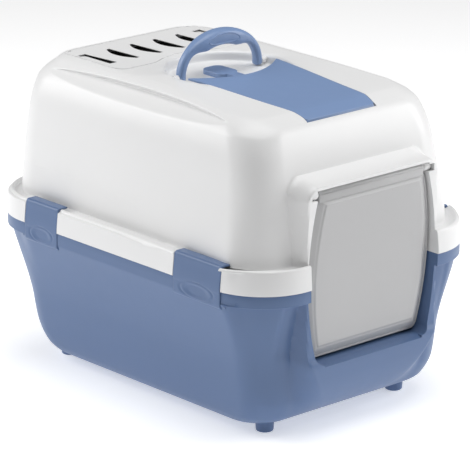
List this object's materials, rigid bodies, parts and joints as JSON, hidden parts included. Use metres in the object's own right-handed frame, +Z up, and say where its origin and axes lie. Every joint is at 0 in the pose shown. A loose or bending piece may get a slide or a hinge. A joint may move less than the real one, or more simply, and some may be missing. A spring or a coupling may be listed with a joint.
{
  "type": "cat litter box",
  "caption": "Hooded cat litter box: tapered tray, latched lift-off hood, swing door, folding carry handle, hinged scoop lid and filter cover.",
  "frame": {"origin": "on the floor under the middle of the box", "axes": "+Z up, the door faces -Y, +X to the right of someone facing the door; lengths run along Y"},
  "size_m": [0.45, 0.6, 0.514],
  "materials": {
    "blue_plastic": "satin moulded polypropylene",
    "light_blue_plastic": "satin moulded polypropylene",
    "white_plastic": "satin moulded polypropylene",
    "smoke_plastic": "frosted translucent sheet",
    "charcoal_felt": "carbon-loaded felt"
  },
  "bodies": {
    "base": {"tray": "blue_plastic", "foot_front_left": "blue_plastic", "foot_front_right": "blue_plastic", "foot_rear_left": "blue_plastic", "foot_rear_right": "blue_plastic", "latch_pin_front_left": "blue_plastic", "latch_pin_front_right": "blue_plastic", "latch_pin_rear_left": "blue_plastic", "latch_pin_rear_right": "blue_plastic"},
    "hood_body": {"hood": "white_plastic", "charcoal_filter": "charcoal_felt", "cover_hinge_pins": "white_plastic", "handle_pin_left": "white_plastic", "handle_pin_right": "white_plastic", "lid_hinge_pin": "white_plastic", "scoop": "light_blue_plastic"},
    "door": {"door_panel": "smoke_plastic", "door_hinge_rod": "white_plastic"},
    "handle": {"carry_handle": "light_blue_plastic", "handle_grip_pad": "light_blue_plastic"},
    "lid": {"scoop_lid": "light_blue_plastic"},
    "cover": {"filter_cover": "white_plastic"},
    "latch_front_left_arm": {"latch_front_left": "blue_plastic"},
    "latch_front_right_arm": {"latch_front_right": "blue_plastic"},
    "latch_rear_left_arm": {"latch_rear_left": "blue_plastic"},
    "latch_rear_right_arm": {"latch_rear_right": "blue_plastic"}
  },
  "joints": [
    {"name": "hood_lift", "type": "slide", "parent": "base", "child": "hood_body", "axis": [0, 0, 1], "range_m": [0, 0.2]},
    {"name": "door_swing", "type": "hinge", "parent": "hood_body", "child": "door", "pos_m": [0, -0.282, 0.356], "axis": [1, 0, 0], "range_deg": [-70, 70]},
    {"name": "handle_fold", "type": "hinge", "parent": "hood_body", "child": "handle", "pos_m": [0, 0.028, 0.453], "axis": [-1, 0, 0], "range_deg": [0, 80]},
    {"name": "lid_open", "type": "hinge", "parent": "hood_body", "child": "lid", "pos_m": [0, -0.219, 0.4385], "axis": [1, 0, 0], "range_deg": [0, 100]},
    {"name": "cover_open", "type": "hinge", "parent": "hood_body", "child": "cover", "pos_m": [0, 0.226, 0.457], "axis": [-1, 0, 0], "range_deg": [0, 80]},
    {"name": "latch_front_left_swing", "type": "hinge", "parent": "base", "child": "latch_front_left_arm", "pos_m": [-0.2195, -0.174, 0.207], "axis": [0, -1, 0], "range_deg": [0, 25]},
    {"name": "latch_front_right_swing", "type": "hinge", "parent": "base", "child": "latch_front_right_arm", "pos_m": [0.2195, -0.174, 0.207], "axis": [0, 1, 0], "range_deg": [0, 25]},
    {"name": "latch_rear_left_swing", "type": "hinge", "parent": "base", "child": "latch_rear_left_arm", "pos_m": [-0.2195, 0.162, 0.207], "axis": [0, -1, 0], "range_deg": [0, 25]},
    {"name": "latch_rear_right_swing", "type": "hinge", "parent": "base", "child": "latch_rear_right_arm", "pos_m": [0.2195, 0.162, 0.207], "axis": [0, 1, 0], "range_deg": [0, 25]}
  ]
}
